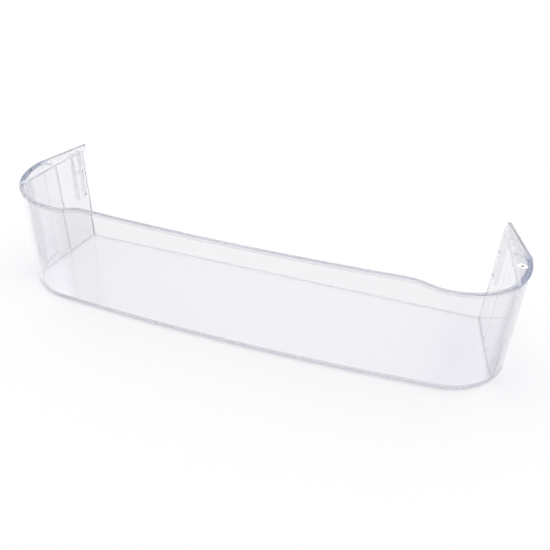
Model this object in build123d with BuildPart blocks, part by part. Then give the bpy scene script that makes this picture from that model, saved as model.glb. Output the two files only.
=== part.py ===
from build123d import *
import math
import os

# Sizes in millimetres. X runs along the shelf, +Y points to the door, +Z is up.

# Overall
overall_depth = 125.5
rim_height = 105.75
rim_rise = 6.0

# Floor and walls
floor_width = 400.0
floor_thickness = 3.0
wall = 2.8
wall_draft = 0.02

# Front wall
front_lean = 1.0
bow_radius = 2170.0
corner_radius = 56.0
corner_clear = 1.0

# Rim
bead_height = 3.0
bead_stand = 0.8
step_inner = 136.0
step_outer = 170.0
rim_round = 0.6

# Ends
splay_angle = 10.4
ear_reach = 11.8
ear_gap = 6.0
ear_nose = 3.5
end_overhang = 1.0
skin_taper = 21.3
skin_draft = 0.4
shoulder_back = 37.9
shoulder_round = 8.0
cheek_angle = 5.8
lip_height = 6.5

# Web inside each end
web_thickness = 2.2
web_inner_back = 33.4

# Hook channel
rib_thickness = 2.0
rib_reach = 4.5
rib_bottom = 49.0
front_rib_back = 11.5
rear_rib_back = 1.5
rib_skew = 8.0
seat_height = 78.0
seat_thickness = 2.2

# Small marks
pip_radius = 1.4
pip_sink = 0.4
pip_back = 3.6
pip_heights = (53.0, 78.0)
dimple_radius = 4.2
dimple_depth = 0.6
dimple_back = 51.9
dimple_inset = 6.4
nub_radius = 1.1
nub_height = 0.9

# Rounds on the floor edges
inner_round = 1.0
outer_round = 2.0

# Clearances of the cut behind the floor
floor_cut_side = 1.0
floor_cut_over = 0.1

# Lines that several features share
y_front = -overall_depth / 2 + bead_stand
y_rear = overall_depth / 2
y_floor = y_rear - ear_reach
y_end = y_floor + end_overhang
y_shoulder = y_floor - shoulder_back
end_height = rim_height - rim_rise
ear_half_width = floor_width / 2 + ear_gap
splay = math.tan(math.radians(splay_angle))
taper = math.tan(math.radians(skin_taper))
cheek = math.tan(math.radians(cheek_angle))
beyond = 40.0


def lean_at(z):
    """How far the front wall stands back from its top line at height z."""
    return front_lean * (1.0 - z / rim_height)


def inner_half(y, z):
    """Half the clear width between the end walls."""
    return floor_width / 2 + splay * (y_floor - y) + wall_draft * (z - floor_thickness)


def outer_half(y, z):
    """Half the width over the tapered skin behind the shoulders."""
    return ear_half_width + taper * (y_rear - y) - skin_draft * (1.0 - z / rim_height)


def skin_plan(z, inset, back):
    """Plan of the front, corners, cheeks and tapered ends at height z, moved inward by inset."""
    front = y_front + lean_at(z) + inset
    # The cheek runs forward from the shoulder, the taper runs back from it
    cheek_base = outer_half(y_shoulder, z) + cheek * y_shoulder - inset / math.cos(math.radians(cheek_angle))
    taper_base = outer_half(0.0, z) - inset / math.cos(math.radians(skin_taper))
    y_bend = (taper_base - cheek_base) / (taper - cheek)
    x_bend = taper_base - taper * y_bend
    x_back = taper_base - taper * back
    # The cheek line x = cheek_base - cheek * y meets the bow of the front wall
    radius = bow_radius - inset
    centre = front + radius
    a = 1.0 + cheek**2
    b = -2.0 * (centre + cheek_base * cheek)
    c = centre**2 + cheek_base**2 - radius**2
    y_corner = (-b - math.sqrt(b * b - 4.0 * a * c)) / (2.0 * a)
    x_corner = cheek_base - cheek * y_corner
    with BuildSketch(Plane.XY.offset(z)) as plan:
        with BuildLine():
            ThreePointArc((-x_corner, y_corner), (0, front), (x_corner, y_corner))
            Polyline((x_corner, y_corner), (x_bend, y_bend), (x_back, back))
            Line((x_back, back), (-x_back, back))
            Polyline((-x_back, back), (-x_bend, y_bend), (-x_corner, y_corner))
        make_face()
        corners, bends = plan.vertices().group_by(Axis.Y)[:2]
        # The corner's round stays within the cheek, clear of the shoulder's round
        cheek_run = math.hypot(x_bend - x_corner, y_bend - y_corner)
        bend_run = shoulder_round * math.tan(math.radians(skin_taper - cheek_angle) / 2)
        fillet(corners, min(corner_radius - inset, cheek_run - bend_run - corner_clear))
        fillet(bends, shoulder_round - inset)
    return plan.sketch


def tray_plan(z, grow, back):
    """Plan between the end walls at height z, moved outward by grow."""
    ahead = y_front - beyond
    extra = grow / math.cos(math.radians(splay_angle))
    with BuildSketch(Plane.XY.offset(z)) as plan:
        with BuildLine():
            Polyline(
                (inner_half(back, z) + extra, back),
                (inner_half(ahead, z) + extra, ahead),
                (-inner_half(ahead, z) - extra, ahead),
                (-inner_half(back, z) - extra, back),
                close=True,
            )
        make_face()
    return plan.sketch


def above_rim(drop):
    """Face in the front view that covers everything above the rim line lowered by drop."""
    low = end_height - drop
    high = rim_height - drop
    top = rim_height + beyond
    side = floor_width
    with BuildSketch(Plane.XZ) as view:
        with BuildLine():
            Line((-side, low), (-step_outer, low))
            Spline((-step_outer, low), (-step_inner, high), tangents=((1, 0), (1, 0)))
            Line((-step_inner, high), (step_inner, high))
            Spline((step_inner, high), (step_outer, low), tangents=((1, 0), (1, 0)))
            Line((step_outer, low), (side, low))
            Polyline((side, low), (side, top), (-side, top), (-side, low))
        make_face()
    return view.sketch


# Solid inside the outer skin, the same with the bead, and the hollow inside the skin
with BuildPart() as outer:
    loft([skin_plan(0, 0, y_rear), skin_plan(rim_height, 0, y_rear)], ruled=True)
    foot = outer.faces().sort_by(Axis.Z)[0].edges().sort_by(Axis.Y)[:-1]
    fillet(foot, outer_round)

with BuildPart() as beaded:
    loft([skin_plan(0, -bead_stand, y_rear), skin_plan(rim_height, -bead_stand, y_rear)], ruled=True)

with BuildPart() as hollow:
    loft([skin_plan(0, wall, y_rear + beyond), skin_plan(rim_height, wall, y_rear + beyond)], ruled=True)

# Block between the outer faces of the end walls, and the room between their inner faces
with BuildPart() as block:
    loft([tray_plan(0, wall, y_end), tray_plan(end_height, wall, y_end)], ruled=True)
    add(outer.part, mode=Mode.INTERSECT)

with BuildPart() as room:
    y_open = y_rear + beyond
    loft([tray_plan(floor_thickness, 0, y_open), tray_plan(rim_height, 0, y_open)], ruled=True)
    add(hollow.part, mode=Mode.INTERSECT)
    foot = room.faces().sort_by(Axis.Z)[0].edges().sort_by(Axis.Y)[:-1]
    fillet(foot, inner_round)

# The inner web of the right end runs from the end wall to the shoulder of the skin
y_web_in = y_floor - web_inner_back
x_web_in = inner_half(y_web_in, 0)
x_shoulder = outer_half(y_shoulder, end_height)
web_run = math.hypot(x_shoulder - x_web_in, y_shoulder - y_web_in)
web_turn = math.degrees(math.atan2(y_shoulder - y_web_in, x_shoulder - x_web_in))

# Front wall and outer skin, with the bead along the top
with BuildPart() as skin:
    add(outer.part)
    add(hollow.part, mode=Mode.SUBTRACT)
    # Behind the inner web only the lip below the roof is left
    for side in (-1, 1):
        with Locations(Location((side * x_web_in, y_web_in, 0), (0, 0, side * web_turn))):
            Box(
                3 * beyond,
                overall_depth,
                end_height - lip_height,
                align=(Align.CENTER, Align.MIN, Align.MIN),
                mode=Mode.SUBTRACT,
            )

with BuildPart() as bead:
    extrude(above_rim(bead_height), amount=overall_depth, both=True)
    add(beaded.part, mode=Mode.INTERSECT)
    add(hollow.part, mode=Mode.SUBTRACT)

# Roof web, inner web and hook channel of the right end
with BuildPart() as fittings:
    with BuildSketch(Plane.XY.offset(end_height - wall)):
        with BuildLine():
            Polyline(
                (inner_half(y_front, end_height), y_front),
                (inner_half(y_end, end_height), y_end),
                (inner_half(y_end, end_height) + ear_nose, y_rear),
                (floor_width, y_rear),
                (floor_width, y_front),
                close=True,
            )
        make_face()
    extrude(amount=wall)
    # Inner web from the end wall out to the skin
    with Locations(Location((x_web_in, y_web_in, 0), (0, 0, web_turn))):
        Box(web_run + wall, web_thickness, end_height, align=(Align.MIN, Align.CENTER, Align.MIN))
    # Two upright ribs and the seat between them
    for back in (front_rib_back, rear_rib_back):
        y_rib = y_floor - back
        with Locations(Location((inner_half(y_rib, 0), y_rib, rib_bottom), (0, 0, -rib_skew))):
            Box(
                wall + rib_reach,
                rib_thickness,
                end_height - rib_bottom,
                align=(Align.MIN, Align.CENTER, Align.MIN),
            )
    y_seat = y_floor - (front_rib_back + rear_rib_back) / 2
    with Locations((inner_half(y_seat, 0), y_seat, seat_height - seat_thickness)):
        Box(
            wall + rib_reach,
            front_rib_back - rear_rib_back,
            seat_thickness,
            align=(Align.MIN, Align.CENTER, Align.MIN),
        )
    add(outer.part, mode=Mode.INTERSECT)
    mirror(about=Plane.YZ)

# What the round tip of the lip leaves off, at both ears: the round is a touch wider than the lip
tip_radius = 0.515 * (wall + bead_stand)
y_tip = y_rear - tip_radius
x_tip = outer_half(y_tip, end_height) - (wall - bead_stand) / 2 / math.cos(math.radians(skin_taper))
with BuildPart() as tip_cut:
    with Locations(Location((x_tip, y_tip, end_height), (0, 0, skin_taper))):
        Box(6 * tip_radius, 3 * tip_radius, 3 * lip_height, align=(Align.CENTER, Align.MIN, Align.CENTER))
        Cylinder(tip_radius, 3 * lip_height, mode=Mode.SUBTRACT)
    mirror(about=Plane.YZ)

# The whole shelf
with BuildPart() as shelf:
    add(block.part)
    add(skin.part)
    add(bead.part)
    add(fittings.part)
    add(room.part, mode=Mode.SUBTRACT)
    extrude(above_rim(0), amount=overall_depth, both=True, mode=Mode.SUBTRACT)
    # The floor stops short of the rear edge of the end walls
    with Locations((0, y_floor, 0)):
        Box(
            floor_width - floor_cut_side,
            beyond,
            2 * (floor_thickness + floor_cut_over),
            align=(Align.CENTER, Align.MIN, Align.CENTER),
            mode=Mode.SUBTRACT,
        )
    # Rounds along the top of the rim, outside and inside
    tops = shelf.faces().filter_by(lambda f: f.normal_at().Z > 0.5 and f.center().Z > end_height - 0.5)
    shared = [e for f in tops for e in f.edges()]
    crest = ShapeList(e for e in shared if e.length > 5.0 and sum(e.is_same(o) for o in shared) == 1)
    crest = crest.filter_by(GeomType.LINE, reverse=True)
    fillet(crest, rim_round)
    # Rounded tips of the ears
    add(tip_cut.part, mode=Mode.SUBTRACT)
    # Round recess with a nub in the roof web of the right end
    with Locations((x_shoulder - dimple_inset, y_floor - dimple_back, end_height)):
        Cylinder(
            dimple_radius,
            dimple_depth,
            align=(Align.CENTER, Align.CENTER, Align.MAX),
            mode=Mode.SUBTRACT,
        )
    with Locations((x_shoulder - dimple_inset, y_floor - dimple_back, end_height - dimple_depth)):
        Cone(
            nub_radius,
            nub_radius / 2,
            nub_height,
            align=(Align.CENTER, Align.CENTER, Align.MIN),
        )
    # Two pips near the rear edge of each end wall
    for side in (-1, 1):
        for height in pip_heights:
            y_pip = y_floor - pip_back
            with Locations((side * (inner_half(y_pip, height) + pip_sink), y_pip, height)):
                Sphere(pip_radius)

shelf.part.label = "door_shelf"

os.makedirs("parts", exist_ok=True)
export_step(shelf.part, "parts/door_shelf.step")
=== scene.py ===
import math

import bpy
from mathutils import Matrix

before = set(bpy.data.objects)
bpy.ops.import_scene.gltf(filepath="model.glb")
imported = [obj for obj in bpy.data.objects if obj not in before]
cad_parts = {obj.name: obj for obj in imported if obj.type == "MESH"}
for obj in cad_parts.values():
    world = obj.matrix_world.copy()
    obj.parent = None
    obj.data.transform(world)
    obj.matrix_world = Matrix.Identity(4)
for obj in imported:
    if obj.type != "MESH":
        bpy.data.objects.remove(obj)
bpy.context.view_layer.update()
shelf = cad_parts["door_shelf"]

# Camera: where it stands in metres, and how it is turned
camera_place = (0.1694, -0.5025, 0.4205)
camera_heading = math.radians(16.999)
camera_dip = math.radians(36.026)
camera_roll = math.radians(2.053)
camera_lens = 47.127

# Room: light from low down in front to high up behind, and the paper under the shelf
light_bounces = 128
room_tilt = math.radians(10)
room_strength = 1.056
room_stops = {
    0.0: (0.25, 0.25, 0.27, 1.0),
    0.25: (0.55, 0.55, 0.57, 1.0),
    0.6: (0.90, 0.90, 0.91, 1.0),
    1.0: (1.50, 1.50, 1.50, 1.0),
}
floor_side = 60.0
floor_gap = 0.0003
paper_white = (0.93, 0.93, 0.93, 1.0)

# Lines of the shelf that the plastic follows, in metres
splay = math.tan(math.radians(10.4))
taper = math.tan(math.radians(21.3))
floor_half = 0.200
floor_rear = 0.05095
floor_top = 0.003
wall_draft = 0.02
ear_half = 0.206
ear_rear = 0.06275
front_foot = -0.06095
front_lean = 0.0095
bow_radius = 2.170
bow_angle = math.radians(4.6)
corner_centre = (0.1701, 0.0014)
corner_radius = 0.056
cheek_angle = math.radians(5.8)
cheek_base = 0.2265
rim_low = 0.09975
rim_rise = 0.006
gate_mark = (0.21895, -0.00095, 0.09975)
pips = ((0.20206, 0.04735, 0.053), (0.20256, 0.04735, 0.078))

# Where one look passes into the next, low and high end in metres: inside the outer skin
bead_face = (-0.0006, -0.0002)
lip_depth = (0.0022, 0.0030)
base_front = (0.0028, 0.0036)
shoulder_depth = (0.0030, 0.0046)
skin_depth = (0.0031, 0.0036)
pocket_skin = (0.0031, 0.0038)
# outside the inner face of the end wall
base_side = (-0.0008, 0.0)
wall_face = (-0.0006, -0.0002)
roof_start = (0.0024, 0.0030)
wall_back = (0.0030, 0.0036)
pocket_wall = (0.0031, 0.0038)
# from left to right, and from the middle to either side
painted_right_shade_span = (-0.16, 0.16)
rim_step = (0.136, 0.170)
front_end = (0.158, 0.176)
shoulder_start = (0.211, 0.221)
# from front to rear
turn_end = (-0.051, -0.043)
foot_end = (-0.040, -0.020)
bend_start = (-0.037, -0.030)
frost_start = (-0.035, -0.025)
bend_end = (-0.012, -0.002)
shoulder_end = (0.014, 0.022)
rib_start = (0.026, 0.032)
edge_start = (0.0484, 0.0492)
brink_start = (floor_rear - 0.0008, floor_rear - 0.0003)
# upward, with the bead's foot measured from the rim
foot_top = (0.0030, 0.0048)
floor_end = (0.0032, 0.0060)
shoulder_foot = (0.0950, 0.0972)
roof_foot = (0.0960, 0.0966)
pocket_top = (0.0980, 0.0990)
lip_foot = (0.0984, 0.0992)
frost_foot = (0.0990, 0.0996)
bead_foot = (-0.0034, -0.0028)
# from the middle of a mark
nub_reach = (0.0010, 0.0014)
pip_reach = (0.0012, 0.0017)
gate_reach = (0.0040, 0.0044)

# Colours of the clear plastic, and the painted shade along its edges, on its marks and towards its right end
floor_tint = (0.985, 0.981, 0.998, 1.0)
wall_tint = (0.885, 0.882, 0.903, 1.0)
front_tint = (0.890, 0.889, 0.897, 1.0)
# The right-hand skin, turn and roof colours hold painted shade: they are darker than the left-hand ones
left_skin_tint = (0.955, 0.952, 0.968, 1.0)
right_skin_painted_shade = (0.930, 0.928, 0.945, 1.0)
left_turn_tint = (0.975, 0.974, 0.985, 1.0)
right_turn_painted_shade = (0.870, 0.868, 0.885, 1.0)
# Painted shade along the bend of the end skins
bend_painted_shade = (0.75, 0.75, 0.79, 1.0)
left_roof_tint = (0.945, 0.945, 0.955, 1.0)
right_roof_painted_shade = (0.77, 0.77, 0.80, 1.0)
web_tint = (1.0, 1.0, 1.0, 1.0)
rib_tint = (0.98, 0.98, 0.99, 1.0)
# Painted shade along the rear edges of the end walls
edge_painted_shade = (0.90, 0.90, 0.925, 1.0)
# Painted shade along the bead of the rim
bead_painted_shade = (0.68, 0.68, 0.71, 1.0)
# Painted shade along the lip of the roofs
lip_painted_shade = (0.33, 0.33, 0.36, 1.0)
# Painted shade on the shoulders of the ends
shoulder_painted_shade = (0.29, 0.335, 0.48, 1.0)
# Painted shade on the foot band, which also deepens the contact shadow beside it
foot_painted_shade = (0.66, 0.66, 0.71, 1.0)
# Painted shade along the rear edge of the floor
brink_painted_shade = (0.76, 0.76, 0.80, 1.0)
# Painted shade on the pips
pip_painted_shade = (0.45, 0.46, 0.52, 1.0)
# Painted shade on the nub of the gate mark
nub_painted_shade = (0.15, 0.15, 0.18, 1.0)
frost_white = (1.0, 1.0, 1.0, 1.0)
depth_tint = (0.0, 0.03, 0.22, 1.0)

# Clearness and gloss of the plastic
plastic_ior = 1.58
depth_density = 1.1
top_frost = 0.35
rib_milk = 0.75
gloss_roughness = 0.015
haze_roughness = 0.05
web_roughness = 0.20
rib_roughness = 0.08
floor_roughness = 0.08
haze_scale = 14.0
haze_detail = 2.0
ripple_scale = 45.0
ripple_detail = 1.0
ripple_depth = 0.00002


class Shade:
    """One output of a node tree, used as a number in Python expressions."""

    def __init__(self, tree, socket=None):
        self.tree = tree
        self.socket = socket

    def node(self, kind, settings=None, inputs=None, output=0):
        """Adds a node, sets it up, fills its sockets, and gives back one of its outputs."""
        made = self.tree.nodes.new(kind)
        for name, value in (settings or {}).items():
            if name == "stops":
                made.color_ramp.interpolation = "EASE"
                for place in list(value)[2:]:
                    made.color_ramp.elements.new(place)
                for stop, (place, colour) in zip(made.color_ramp.elements, sorted(value.items())):
                    stop.position = place
                    stop.color = colour
            else:
                setattr(made, name, value)
        for name, value in (inputs or {}).items():
            if isinstance(value, Shade):
                self.tree.links.new(value.socket, made.inputs[name])
            else:
                made.inputs[name].default_value = value
        return Shade(self.tree, made.outputs[output])

    def end(self, kind, inputs):
        """Adds the tree's output node and links what it shows."""
        made = self.tree.nodes.new(kind)
        for name, value in inputs.items():
            self.tree.links.new(value.socket, made.inputs[name])

    def maths(self, operation, first, second=0.0):
        """What a Math node makes of one or two numbers."""
        return self.node("ShaderNodeMath", {"operation": operation}, {0: first, 1: second})

    def along(self, axis):
        """How far this place is along one axis."""
        return self.node("ShaderNodeSeparateXYZ", None, {"Vector": self}, output=axis)

    def far_from(self, point):
        """How far this place is from a point."""
        settings = {"operation": "DISTANCE"}
        return self.node("ShaderNodeVectorMath", settings, {0: self, 1: point}, output="Value")

    def noise(self, scale, detail):
        """Soft noise over this place."""
        return self.node("ShaderNodeTexNoise", None, {"Vector": self, "Scale": scale, "Detail": detail})

    def fade(self, span):
        """Goes smoothly from 0 at the low end of a span to 1 at its high end."""
        settings = {"interpolation_type": "SMOOTHSTEP"}
        return self.node("ShaderNodeMapRange", settings, {"Value": self, "From Min": span[0], "From Max": span[1]})

    def blend(self, first, second):
        """The colour between first and second, by how much this is."""
        return self.node("ShaderNodeMix", {"data_type": "RGBA"}, {0: self, 6: first, 7: second}, output=2)

    def mix(self, first, second):
        """The shader between first and second, by how much this is."""
        return self.node("ShaderNodeMixShader", None, {0: self, 1: first, 2: second})

    def __add__(self, other):
        return self.maths("ADD", self, other)

    def __radd__(self, other):
        return self.maths("ADD", other, self)

    def __sub__(self, other):
        return self.maths("SUBTRACT", self, other)

    def __rsub__(self, other):
        return self.maths("SUBTRACT", other, self)

    def __mul__(self, other):
        return self.maths("MULTIPLY", self, other)

    def __rmul__(self, other):
        return self.maths("MULTIPLY", other, self)


def empty_material(name):
    """A material with an empty node tree, and that tree."""
    material = bpy.data.materials.new(name)
    material.use_nodes = True
    material.node_tree.nodes.clear()
    return material, Shade(material.node_tree)


def inside_front_and_corner(tree, side, y, z):
    """How far a point is inside the outer faces of the front wall, corner and cheek."""
    front = y - (front_foot - front_lean * z) - side * side * (0.5 / bow_radius)
    cheek = (cheek_base - math.tan(cheek_angle) * y - side) * math.cos(cheek_angle)
    straight = tree.maths("MINIMUM", front, cheek)
    ahead = side - corner_centre[0]
    across = y - corner_centre[1]
    reach = tree.maths("SQRT", ahead * ahead + across * across)
    past_bow = tree.maths("GREATER_THAN", ahead * math.cos(bow_angle) + across * math.sin(bow_angle))
    past_cheek = tree.maths("GREATER_THAN", ahead * math.sin(cheek_angle) - across * math.cos(cheek_angle))
    return straight + past_bow * past_cheek * (corner_radius - reach - straight)


def clear_plastic():
    """Clear moulded plastic: polished walls, painted shade along the edges, hazy pockets, milky ribs."""
    material, tree = empty_material("clear_plastic")
    place = tree.node("ShaderNodeTexCoord", output="Object")
    x, y, z = (place.along(axis) for axis in "XYZ")
    side = tree.maths("ABSOLUTE", x)
    mirrored = tree.node("ShaderNodeCombineXYZ", None, {"X": side, "Y": y, "Z": z})
    # How far a point is outside the end wall's inner face, and inside the outer skin
    past_wall = side - (floor_half + splay * (floor_rear - y) + wall_draft * (z - floor_top))
    inside_taper = ear_half + taper * (ear_rear - y) - side
    inside_skin = tree.maths("MINIMUM", inside_front_and_corner(tree, side, y, z), inside_taper)

    # Floor, walls and front
    above_floor = z.fade(floor_end)
    skin = 1 - inside_skin.fade(skin_depth)
    front = skin * (1 - side.fade(front_end))
    tint = above_floor.blend(floor_tint, wall_tint)
    tint = front.blend(tint, front_tint)
    # Skin of the ends, with painted shade that deepens towards the right
    painted_right_shade = x.fade(painted_right_shade_span)
    cheek = skin * side.fade(front_end)
    # Painted shade along the bend of the skin
    bend = y.fade(bend_start) * (1 - y.fade(bend_end))
    turn_tint = painted_right_shade.blend(left_turn_tint, right_turn_painted_shade)
    skin_tint = painted_right_shade.blend(left_skin_tint, right_skin_painted_shade)
    skin_tint = y.fade(turn_end).blend(turn_tint, skin_tint)
    tint = cheek.blend(tint, bend.blend(skin_tint, bend_painted_shade))
    # Webs and ribs in the pockets, painted shade along the rear edges of the end walls, and roofs
    pocket = past_wall.fade(pocket_wall) * inside_skin.fade(pocket_skin) * (1 - z.fade(pocket_top))
    ribs = pocket * y.fade(rib_start)
    webs = pocket - ribs
    tint = webs.blend(ribs.blend(tint, rib_tint), web_tint)
    end_wall = past_wall.fade(wall_face) * (1 - past_wall.fade(wall_back))
    edge = end_wall * above_floor * y.fade(edge_start)
    tint = edge.blend(tint, edge_painted_shade)
    # Roofs, with painted shade that deepens towards the right
    roof = z.fade(roof_foot) * past_wall.fade(roof_start)
    tint = roof.blend(tint, painted_right_shade.blend(left_roof_tint, right_roof_painted_shade))
    # Painted shade on the bead, lip, shoulders and foot, and along the rear edge of the floor
    rim = rim_low + rim_rise * (1 - side.fade(rim_step))
    bead = (1 - inside_skin.fade(bead_face)) * (z - rim).fade(bead_foot)
    tint = bead.blend(tint, bead_painted_shade)
    lip = (1 - inside_taper.fade(lip_depth)) * z.fade(lip_foot)
    tint = lip.blend(tint, lip_painted_shade)
    shoulder = (1 - inside_skin.fade(shoulder_depth)) * side.fade(shoulder_start)
    shoulder = shoulder * z.fade(shoulder_foot) * (1 - y.fade(shoulder_end))
    tint = shoulder.blend(tint, shoulder_painted_shade)
    foot = skin * (1 - z.fade(foot_top)) * (1 - y.fade(foot_end))
    tint = foot.blend(tint, foot_painted_shade)
    brink = (1 - above_floor) * y.fade(brink_start)
    tint = brink.blend(tint, brink_painted_shade)
    # Small marks, painted as dark dots and a dark nub of shade
    dots = 1 - mirrored.far_from(pips[0]).fade(pip_reach) * mirrored.far_from(pips[1]).fade(pip_reach)
    tint = dots.blend(tint, pip_painted_shade)
    from_gate = place.far_from(gate_mark)
    gate = 1 - from_gate.fade(gate_reach)
    nub = 1 - from_gate.fade(nub_reach)
    tint = nub.blend(tint, nub_painted_shade)

    # Gloss, with haze in the pockets and on the floor
    haze = place.noise(haze_scale, haze_detail)
    gloss = gloss_roughness + haze * (haze_roughness - gloss_roughness)
    base = (1 - above_floor) * (1 - past_wall.fade(base_side)) * inside_skin.fade(base_front)
    gloss = gloss + webs * web_roughness + ribs * rib_roughness + base * floor_roughness

    # Faint ripple of the moulded faces
    waves = place.noise(ripple_scale, ripple_detail)
    ripple = tree.node("ShaderNodeBump", None, {"Height": waves, "Strength": 1.0, "Distance": ripple_depth})

    plastic = tree.node(
        "ShaderNodeBsdfPrincipled",
        None,
        {
            "Base Color": tint,
            "Roughness": gloss,
            "IOR": plastic_ior,
            "Normal": ripple,
            "Transmission Weight": 1.0,
        },
    )
    # Milky ribs, and frost on the tops of the end walls and round the gate mark's nub
    milky = tree.node("ShaderNodeBsdfTranslucent", None, {"Color": rib_tint})
    frosted = tree.node("ShaderNodeBsdfDiffuse", None, {"Color": frost_white})
    wall_top = end_wall * z.fade(frost_foot) * y.fade(frost_start)
    frost = tree.maths("MAXIMUM", wall_top * top_frost, gate - nub)
    surface = (ribs * rib_milk).mix(plastic, milky)
    surface = frost.mix(surface, frosted)
    depth = tree.node("ShaderNodeVolumeAbsorption", None, {"Color": depth_tint, "Density": depth_density})
    tree.end("ShaderNodeOutputMaterial", {"Surface": surface, "Volume": depth})
    return material


def pale_floor():
    """Matt white paper."""
    material, tree = empty_material("pale_floor")
    paper = tree.node("ShaderNodeBsdfDiffuse", None, {"Color": paper_white})
    tree.end("ShaderNodeOutputMaterial", {"Surface": paper})
    return material


shelf.data.materials.clear()
shelf.data.materials.append(clear_plastic())

# Floor
bpy.ops.object.select_all(action="DESELECT")
bpy.ops.mesh.primitive_plane_add(size=floor_side, location=(0, 0, -floor_gap))
floor = bpy.context.object
floor.name = "floor"
floor.data.materials.append(pale_floor())

# Room
room = bpy.data.worlds.new("room")
room.use_nodes = True
room.node_tree.nodes.clear()
tree = Shade(room.node_tree)
way = tree.node("ShaderNodeTexCoord", output="Generated")
height = way.along("Z") * math.cos(room_tilt) + way.along("Y") * math.sin(room_tilt)
glow = tree.node("ShaderNodeValToRGB", {"stops": room_stops}, {"Fac": height})
light = tree.node("ShaderNodeBackground", None, {"Color": glow, "Strength": room_strength})
tree.end("ShaderNodeOutputWorld", {"Surface": light})
scene = bpy.context.scene
scene.world = room
scene.cycles.max_bounces = light_bounces
scene.cycles.transmission_bounces = light_bounces
scene.cycles.glossy_bounces = light_bounces
scene.cycles.blur_glossy = 0.0

# Camera
camera = bpy.data.objects.new("camera", bpy.data.cameras.new("camera"))
camera.data.lens = camera_lens
turn = Matrix.Rotation(camera_heading, 4, "Z")
turn = turn @ Matrix.Rotation(math.pi / 2 - camera_dip, 4, "X")
turn = turn @ Matrix.Rotation(camera_roll, 4, "Z")
camera.matrix_world = Matrix.Translation(camera_place) @ turn
scene.collection.objects.link(camera)
scene.camera = camera
scene.view_settings.view_transform = "Standard"
